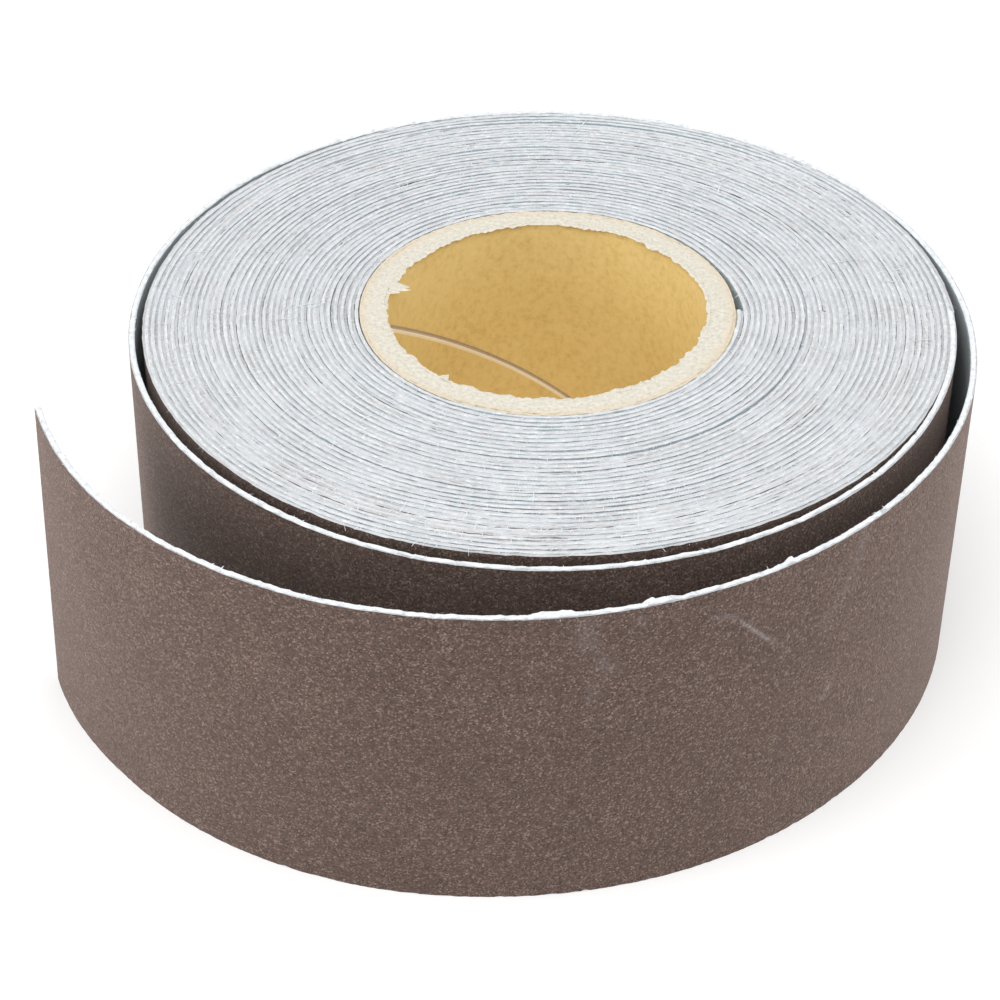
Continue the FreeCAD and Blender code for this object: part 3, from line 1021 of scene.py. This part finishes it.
# Each lamp's name, place in metres, width in metres and power in watts.
LAMPS = (("overhead", (0.0, -0.35, 1.1), 1.1, 9.0), ("left", (-1.08, -0.27, 0.40), 0.8, 5.4),
         ("right", (1.1, -0.05, 0.40), 0.8, 2.9))
LAMP_AIM = Vector((0, 0, 0.03))
CAMERA_PLACE = Vector((0, -0.3188, 0.2543))
CAMERA_TURNS = (37.02, -1.01, 0.80)    # degrees down, to the left and tilted
CAMERA_LENS = 91.15


def make_floor():
    """A plain pale floor, much wider than the view."""
    corners = np.array([(x * FLOOR_HALF, y * FLOOR_HALF, -FLOOR_DROP)
                        for x, y in ((-1, -1), (1, -1), (1, 1), (-1, 1))])
    n = Nodes("studio_floor")
    n.finish((0.93, 0.93, 0.93, 1.0), 0.9)
    n.shader.inputs["Emission Color"].default_value = (1.0, 1.0, 1.0, 1.0)
    n.shader.inputs["Emission Strength"].default_value = 0.12
    floor = new_mesh("studio_floor", corners, [[0, 1, 2, 3]], None, [n.material])


def make_lights():
    """Soft white light from all round, a large lamp above and one at each side."""
    world = bpy.data.worlds.new("studio_light")
    world.use_nodes = True
    background = world.node_tree.nodes["Background"]
    background.inputs["Color"].default_value = (1.0, 1.0, 1.0, 1.0)
    background.inputs["Strength"].default_value = WORLD_LIGHT
    bpy.context.scene.world = world
    for name, spot, size, power in LAMPS:
        lamp = bpy.data.lights.new(name, "AREA")
        lamp.size = size
        lamp.energy = power
        item = bpy.data.objects.new(name, lamp)
        item.location = spot
        toward = LAMP_AIM - Vector(spot)
        item.rotation_euler = toward.to_track_quat("-Z", "Y").to_euler()
        bpy.context.scene.collection.objects.link(item)


def make_camera():
    """A camera in front and above, looking down by 37 degrees."""
    pitch, yaw, roll = (math.radians(turn) for turn in CAMERA_TURNS)
    ahead = Vector((0, math.cos(pitch), -math.sin(pitch)))
    up = Vector((0, math.sin(pitch), math.cos(pitch)))
    right = Vector((1, 0, 0))
    ahead, right = (ahead * math.cos(yaw) + right * math.sin(yaw),
                    right * math.cos(yaw) - ahead * math.sin(yaw))
    right, up = (right * math.cos(roll) + up * math.sin(roll),
                 up * math.cos(roll) - right * math.sin(roll))
    data = bpy.data.cameras.new("camera")
    data.lens = CAMERA_LENS
    data.sensor_width = 36.0
    data.clip_start = 0.01
    camera = bpy.data.objects.new("camera", data)
    turned = Matrix((right, up, -ahead)).transposed().to_4x4()
    camera.matrix_world = Matrix.Translation(CAMERA_PLACE) @ turned
    bpy.context.scene.collection.objects.link(camera)
    bpy.context.scene.camera = camera


def paint_glue():
    """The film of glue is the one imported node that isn't replaced."""
    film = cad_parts["start_glue"]
    film.data.materials.clear()
    film.data.materials.append(glue_material())


make_core()
make_wound()
wound_fuzz()
loose_threads()
make_loose()
make_tail()
paint_glue()
make_floor()
make_lights()
make_camera()
bpy.context.scene.view_settings.view_transform = "Standard"
